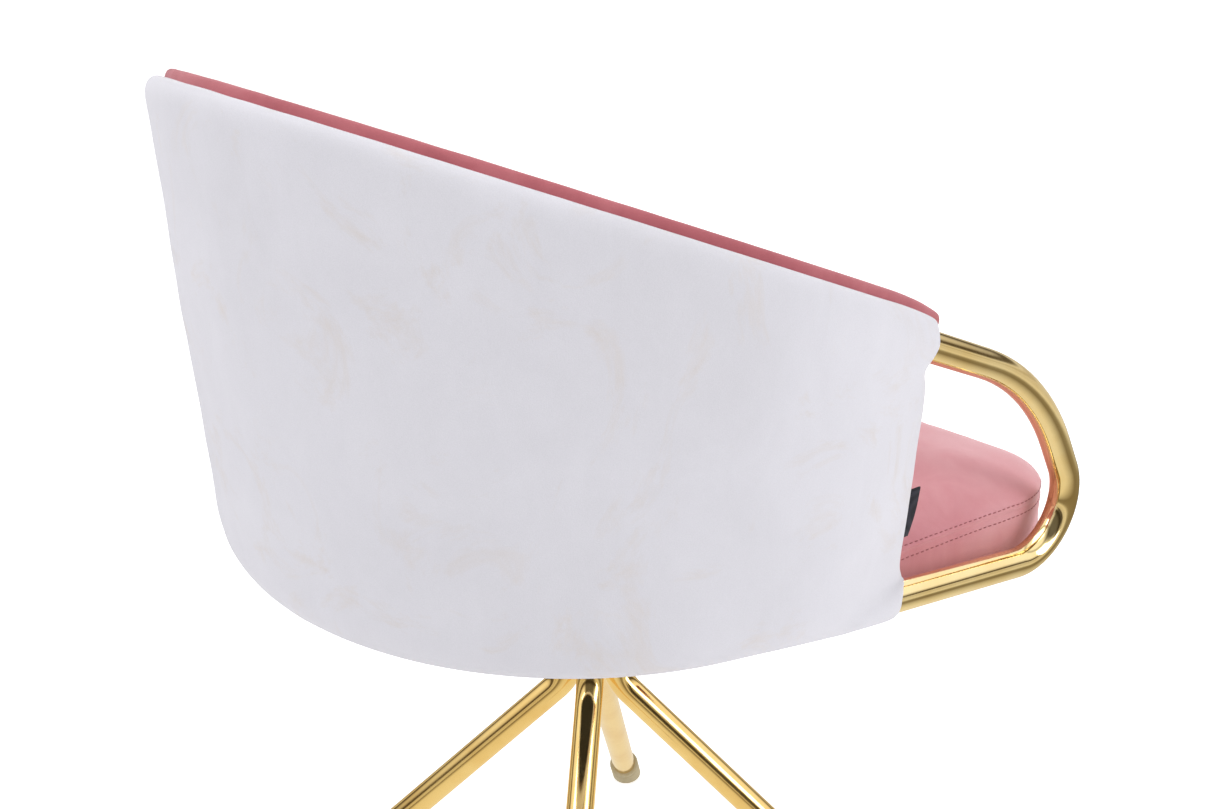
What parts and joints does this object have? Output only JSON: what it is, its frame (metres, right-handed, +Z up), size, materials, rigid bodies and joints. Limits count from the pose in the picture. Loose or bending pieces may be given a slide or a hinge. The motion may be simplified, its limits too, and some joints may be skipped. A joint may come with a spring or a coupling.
{
  "type": "swivel tub chair",
  "caption": "Swivel tub chair with a flaring bucket shell, sloping rim, padded lining and seat, bent-tube arm loops and splayed tube legs.",
  "frame": {"origin": "on the floor under the swivel axis, within 5 mm of the middle of the chair's box", "axes": "+Z up along the swivel axis, -Y the way the sitter faces, +X towards the sitter's left"},
  "size_m": [0.5728, 0.6121, 0.7932],
  "materials": {
    "velvet_white": "off-white short-pile velvet",
    "velvet_pink": "dusty pink short-pile velvet",
    "plywood": "raw plywood",
    "foam": "upholstery foam",
    "lining_fabric": "black non-woven lining",
    "label_fabric": "woven black tape, blank",
    "gold_tube": "polished gold plating on steel tube",
    "zinc_steel": "zinc-plated steel",
    "bronze": "sintered bronze",
    "black_nylon": "black nylon",
    "foot_plastic": "black moulded foot cap"
  },
  "bodies": {
    "base": {"pivot_washer": "zinc_steel", "pivot_nut": "zinc_steel", "king_pin": "zinc_steel", "swivel_lower_plate": "zinc_steel", "base_plate": "gold_tube", "plate_screws": "zinc_steel", "plate_nuts": "zinc_steel", "leg_front_left": "gold_tube", "leg_front_right": "gold_tube", "leg_rear_left": "gold_tube", "leg_rear_right": "gold_tube", "foot_front_left": "foot_plastic", "foot_front_right": "foot_plastic", "foot_rear_left": "foot_plastic", "foot_rear_right": "foot_plastic"},
    "seat": {"shell_core": "plywood", "shell_padding": "foam", "outer_cover": "velvet_white", "inner_pad": "velvet_pink", "rim_piping": "velvet_pink", "seat_board": "plywood", "seat_cushion": "velvet_pink", "dust_cover": "lining_fabric", "care_label": "label_fabric", "arm_left": "gold_tube", "arm_right": "gold_tube", "arm_strap_left": "zinc_steel", "arm_strap_right": "zinc_steel", "arm_spacers": "zinc_steel", "arm_bolts": "zinc_steel", "tee_nuts": "zinc_steel", "seat_bolts": "zinc_steel", "swivel_upper_plate": "zinc_steel", "pivot_bush": "bronze"},
    "ball_ring": {"ball_cage": "black_nylon", "bearing_balls": "zinc_steel"}
  },
  "joints": [
    {"name": "seat_swivel", "type": "hinge", "parent": "base", "child": "seat", "pos_m": [0, 0, 0.411], "axis": [0, 0, 1], "continuous": true},
    {"name": "ball_ring_spin", "type": "hinge", "parent": "base", "child": "ball_ring", "pos_m": [0, 0, 0.411], "axis": [0, 0, 1], "continuous": true}
  ],
  "couplings": [
    {"joint": "ball_ring_spin", "follows": "seat_swivel", "ratio": 0.5}
  ]
}
